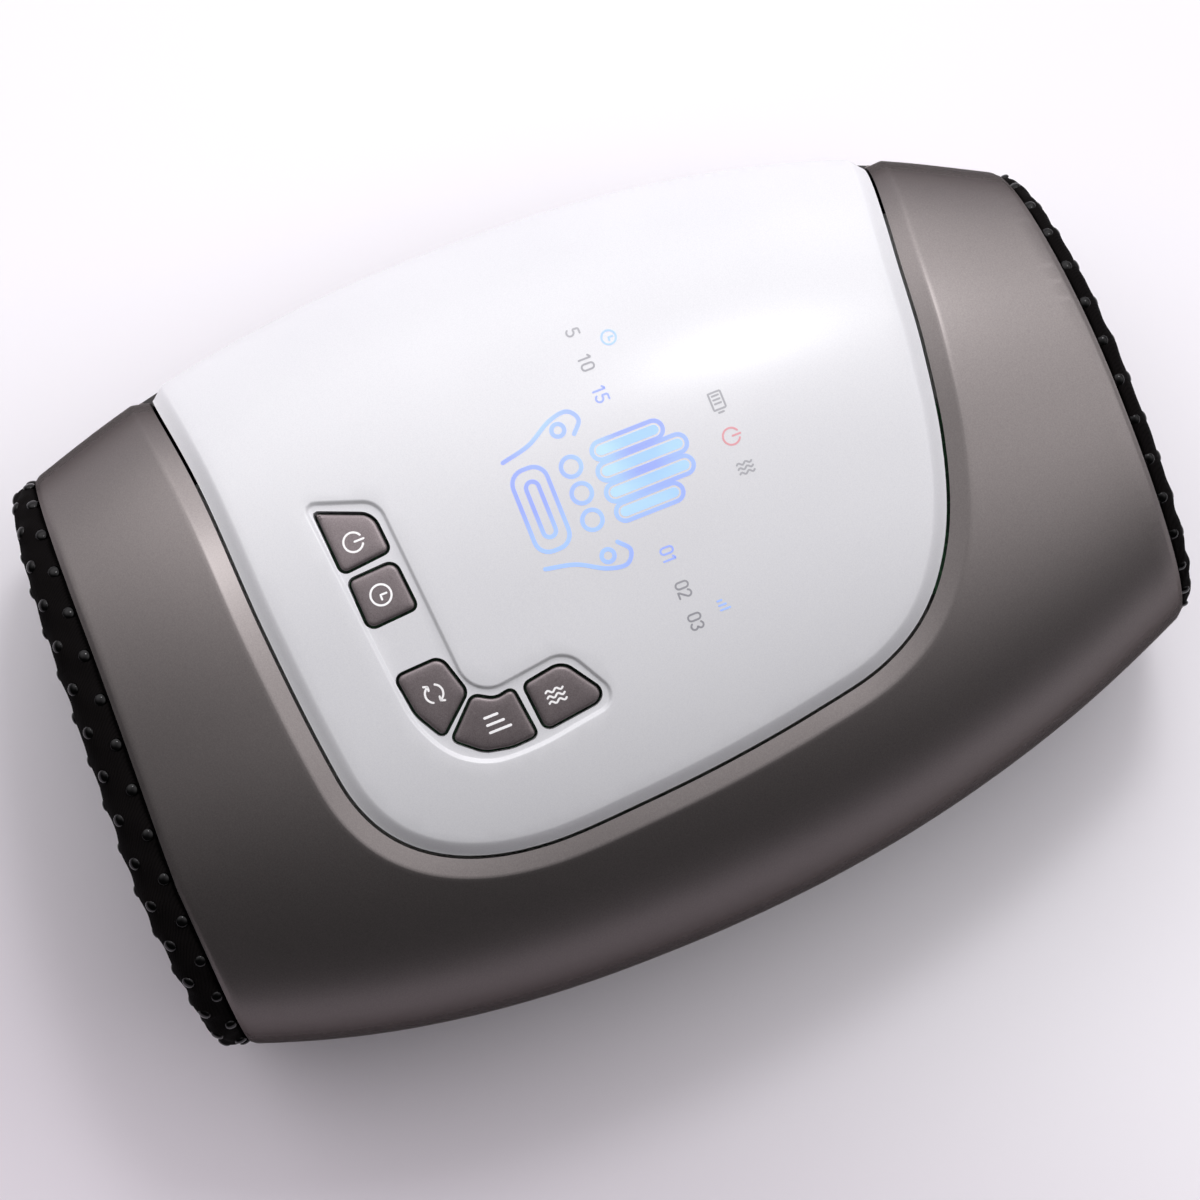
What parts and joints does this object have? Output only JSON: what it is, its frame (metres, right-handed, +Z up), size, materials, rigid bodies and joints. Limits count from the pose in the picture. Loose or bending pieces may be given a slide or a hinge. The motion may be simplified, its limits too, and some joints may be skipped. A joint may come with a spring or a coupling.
{
  "type": "hand compression massager",
  "caption": "Barrel-shaped hand compression massager with an open padded tunnel, a wrap-over top panel with keys, air bags, pump and battery inside.",
  "frame": {"origin": "on the table, under the middle of the object's box", "axes": "+Y along the tunnel from the wrist opening to the finger opening, +X to the user's right, +Z up"},
  "size_m": [0.1758, 0.267, 0.104],
  "materials": {
    "shell_grey": "satin, fine metallic grain",
    "base_grey": "satin",
    "panel_white": "pearl, soft gloss",
    "key_grey": "satin",
    "lip_black": "black padded fabric with round rubber studs",
    "liner_black": "black mesh",
    "airbag_film": "coated film",
    "plate_black": "moulded",
    "film_amber": "polyimide film",
    "frame_white": "moulded",
    "steel": "zinc plated",
    "screw_steel": "black oxide",
    "circuit_board": "solder mask",
    "cell_sleeve": "shrink sleeve",
    "silicone": "clear silicone",
    "foot_rubber": "moulded",
    "light_guide": "diffusing",
    "switch_black": "moulded"
  },
  "bodies": {
    "root": {"air_manifold": "frame_white", "battery_cell_1": "cell_sleeve", "battery_cell_2": "cell_sleeve", "battery_tray": "frame_white", "board_screw_1": "screw_steel", "board_screw_2": "screw_steel", "buzzer": "switch_black", "case_screw_1": "screw_steel", "case_screw_2": "screw_steel", "case_screw_3": "screw_steel", "case_screw_4": "screw_steel", "charging_socket": "steel", "display_board": "circuit_board", "foot_front_left": "foot_rubber", "foot_front_right": "foot_rubber", "foot_rear_left": "foot_rubber", "foot_rear_right": "foot_rubber", "front_lip": "lip_black", "heat_switch": "switch_black", "intensity_switch": "switch_black", "key_board": "circuit_board", "light_guide": "light_guide", "lower_airbag": "airbag_film", "lower_bag_hose": "silicone", "lower_liner": "liner_black", "lower_shell": "base_grey", "lower_tunnel_frame": "frame_white", "main_board": "circuit_board", "mode_switch": "switch_black", "power_switch": "switch_black", "pressure_valve": "steel", "pump_clamp": "steel", "pump_head": "frame_white", "pump_hose": "silicone", "pump_motor": "steel", "rear_lip": "lip_black", "release_valve": "steel", "timer_switch": "switch_black", "top_panel": "panel_white", "upper_airbag": "airbag_film", "upper_bag_hose": "silicone", "upper_liner": "liner_black", "upper_shell": "shell_grey", "upper_tunnel_frame": "frame_white"},
    "power_button": {"power_button": "key_grey", "power_switch_plunger": "steel"},
    "timer_button": {"timer_button": "key_grey", "timer_switch_plunger": "steel"},
    "mode_button": {"mode_button": "key_grey", "mode_switch_plunger": "steel"},
    "intensity_button": {"intensity_button": "key_grey", "intensity_switch_plunger": "steel"},
    "heat_button": {"heat_button": "key_grey", "heat_switch_plunger": "steel"},
    "upper_plate": {"upper_pressure_plate": "plate_black", "heating_film": "film_amber"},
    "lower_plate": {"lower_pressure_plate": "plate_black"},
    "pump_crank": {"pump_crank": "steel"},
    "pressure_valve_plunger": {"pressure_valve_plunger": "screw_steel"},
    "release_valve_plunger": {"release_valve_plunger": "screw_steel"}
  },
  "joints": [
    {"name": "power_press", "type": "slide", "parent": "root", "child": "power_button", "axis": [0, 0, -1], "range_m": [0, 0.0008], "stiffness_N_per_m": 600, "springref_m": -0.0005},
    {"name": "timer_press", "type": "slide", "parent": "root", "child": "timer_button", "axis": [0, 0, -1], "range_m": [0, 0.0008], "stiffness_N_per_m": 600, "springref_m": -0.0005},
    {"name": "mode_press", "type": "slide", "parent": "root", "child": "mode_button", "axis": [0, 0, -1], "range_m": [0, 0.0008], "stiffness_N_per_m": 600, "springref_m": -0.0005},
    {"name": "intensity_press", "type": "slide", "parent": "root", "child": "intensity_button", "axis": [0, 0, -1], "range_m": [0, 0.0008], "stiffness_N_per_m": 600, "springref_m": -0.0005},
    {"name": "heat_press", "type": "slide", "parent": "root", "child": "heat_button", "axis": [0, 0, -1], "range_m": [0, 0.0008], "stiffness_N_per_m": 600, "springref_m": -0.0005},
    {"name": "upper_plate_squeeze", "type": "slide", "parent": "root", "child": "upper_plate", "axis": [0, 0, -1], "range_m": [0, 0.012], "stiffness_N_per_m": 60, "springref_m": -0.015, "deforming": ["upper_liner", "upper_airbag"]},
    {"name": "lower_plate_squeeze", "type": "slide", "parent": "root", "child": "lower_plate", "axis": [0, 0, 1], "range_m": [0, 0.012], "stiffness_N_per_m": 60, "springref_m": -0.015, "deforming": ["lower_liner", "lower_airbag"]},
    {"name": "pump_crank_spin", "type": "hinge", "parent": "root", "child": "pump_crank", "pos_m": [-0.0725, -0.02, 0.045], "axis": [0, 1, 0], "continuous": true},
    {"name": "pressure_valve_slide", "type": "slide", "parent": "root", "child": "pressure_valve_plunger", "axis": [0, 1, 0], "range_m": [0, 0.0015], "stiffness_N_per_m": 200, "springref_m": -0.001},
    {"name": "release_valve_slide", "type": "slide", "parent": "root", "child": "release_valve_plunger", "axis": [0, 1, 0], "range_m": [0, 0.0015], "stiffness_N_per_m": 200, "springref_m": -0.001}
  ],
  "couplings": [
    {"joint": "lower_plate_squeeze", "follows": "upper_plate_squeeze", "ratio": 1}
  ]
}
